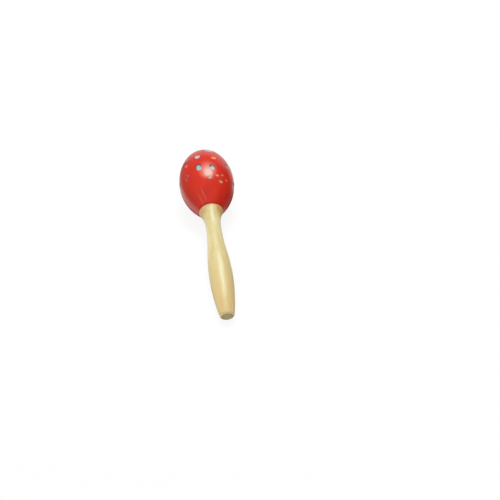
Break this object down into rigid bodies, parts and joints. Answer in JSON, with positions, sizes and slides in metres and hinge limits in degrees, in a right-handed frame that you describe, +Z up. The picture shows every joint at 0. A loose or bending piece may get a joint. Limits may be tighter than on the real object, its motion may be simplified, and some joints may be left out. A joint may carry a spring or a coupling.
{
  "type": "wooden maraca",
  "caption": "Wooden maraca: a hollow egg-shaped head of glued lacquered halves with loose beads inside, on a turned handle with a swelling grip and a flared collar.",
  "frame": {"origin": "centre of the bottom of the part's box, on the table that the maraca lies on", "axes": "+Z up from the table, +Y along the maraca from the butt of the handle to the crown of the head, +X to the right seen from the butt"},
  "size_m": [0.0614, 0.2212, 0.0619],
  "materials": {
    "head_lacquer": "gloss red lacquer over turned wood, with carved and painted dots",
    "handle_wood": "clear gloss varnish over pale turned wood",
    "bead_seed": "smooth dry seed"
  },
  "bodies": {
    "body": {"handle": "handle_wood", "head_lower": "head_lacquer", "head_upper": "head_lacquer"},
    "bead_01": {"bead_01": "bead_seed"},
    "bead_02": {"bead_02": "bead_seed"},
    "bead_03": {"bead_03": "bead_seed"},
    "bead_04": {"bead_04": "bead_seed"},
    "bead_05": {"bead_05": "bead_seed"},
    "bead_06": {"bead_06": "bead_seed"},
    "bead_07": {"bead_07": "bead_seed"},
    "bead_08": {"bead_08": "bead_seed"},
    "bead_09": {"bead_09": "bead_seed"},
    "bead_10": {"bead_10": "bead_seed"},
    "bead_11": {"bead_11": "bead_seed"},
    "bead_12": {"bead_12": "bead_seed"},
    "bead_13": {"bead_13": "bead_seed"},
    "bead_14": {"bead_14": "bead_seed"},
    "bead_15": {"bead_15": "bead_seed"},
    "bead_16": {"bead_16": "bead_seed"},
    "bead_17": {"bead_17": "bead_seed"},
    "bead_18": {"bead_18": "bead_seed"},
    "bead_19": {"bead_19": "bead_seed"},
    "bead_20": {"bead_20": "bead_seed"},
    "bead_21": {"bead_21": "bead_seed"},
    "bead_22": {"bead_22": "bead_seed"},
    "bead_23": {"bead_23": "bead_seed"}
  },
  "joints": [
    {"name": "bead_01_slide", "type": "slide", "parent": "body", "child": "bead_01", "axis": [0, -0.1321, 0.9912], "range_m": [0, 0.03792]},
    {"name": "bead_02_slide", "type": "slide", "parent": "body", "child": "bead_02", "axis": [0, -0.1321, 0.9912], "range_m": [0, 0.03792]},
    {"name": "bead_03_slide", "type": "slide", "parent": "body", "child": "bead_03", "axis": [0, -0.1321, 0.9912], "range_m": [0, 0.04033]},
    {"name": "bead_04_slide", "type": "slide", "parent": "body", "child": "bead_04", "axis": [0, -0.1321, 0.9912], "range_m": [0, 0.04175]},
    {"name": "bead_05_slide", "type": "slide", "parent": "body", "child": "bead_05", "axis": [0, -0.1321, 0.9912], "range_m": [0, 0.04033]},
    {"name": "bead_06_slide", "type": "slide", "parent": "body", "child": "bead_06", "axis": [0, -0.1321, 0.9912], "range_m": [0, 0.04121]},
    {"name": "bead_07_slide", "type": "slide", "parent": "body", "child": "bead_07", "axis": [0, -0.1321, 0.9912], "range_m": [0, 0.04395]},
    {"name": "bead_08_slide", "type": "slide", "parent": "body", "child": "bead_08", "axis": [0, -0.1321, 0.9912], "range_m": [0, 0.04395]},
    {"name": "bead_09_slide", "type": "slide", "parent": "body", "child": "bead_09", "axis": [0, -0.1321, 0.9912], "range_m": [0, 0.04121]},
    {"name": "bead_10_slide", "type": "slide", "parent": "body", "child": "bead_10", "axis": [0, -0.1321, 0.9912], "range_m": [0, 0.04055]},
    {"name": "bead_11_slide", "type": "slide", "parent": "body", "child": "bead_11", "axis": [0, -0.1321, 0.9912], "range_m": [0, 0.04465]},
    {"name": "bead_12_slide", "type": "slide", "parent": "body", "child": "bead_12", "axis": [0, -0.1321, 0.9912], "range_m": [0, 0.04594]},
    {"name": "bead_13_slide", "type": "slide", "parent": "body", "child": "bead_13", "axis": [0, -0.1321, 0.9912], "range_m": [0, 0.04465]},
    {"name": "bead_14_slide", "type": "slide", "parent": "body", "child": "bead_14", "axis": [0, -0.1321, 0.9912], "range_m": [0, 0.04055]},
    {"name": "bead_15_slide", "type": "slide", "parent": "body", "child": "bead_15", "axis": [0, -0.1321, 0.9912], "range_m": [0, 0.04389]},
    {"name": "bead_16_slide", "type": "slide", "parent": "body", "child": "bead_16", "axis": [0, -0.1321, 0.9912], "range_m": [0, 0.04647]},
    {"name": "bead_17_slide", "type": "slide", "parent": "body", "child": "bead_17", "axis": [0, -0.1321, 0.9912], "range_m": [0, 0.04647]},
    {"name": "bead_18_slide", "type": "slide", "parent": "body", "child": "bead_18", "axis": [0, -0.1321, 0.9912], "range_m": [0, 0.04389]},
    {"name": "bead_19_slide", "type": "slide", "parent": "body", "child": "bead_19", "axis": [0, -0.1321, 0.9912], "range_m": [0, 0.04556]},
    {"name": "bead_20_slide", "type": "slide", "parent": "body", "child": "bead_20", "axis": [0, -0.1321, 0.9912], "range_m": [0, 0.04682]},
    {"name": "bead_21_slide", "type": "slide", "parent": "body", "child": "bead_21", "axis": [0, -0.1321, 0.9912], "range_m": [0, 0.04556]},
    {"name": "bead_22_slide", "type": "slide", "parent": "body", "child": "bead_22", "axis": [0, -0.1321, 0.9912], "range_m": [0, 0.04574]},
    {"name": "bead_23_slide", "type": "slide", "parent": "body", "child": "bead_23", "axis": [0, -0.1321, 0.9912], "range_m": [0, 0.04574]}
  ]
}
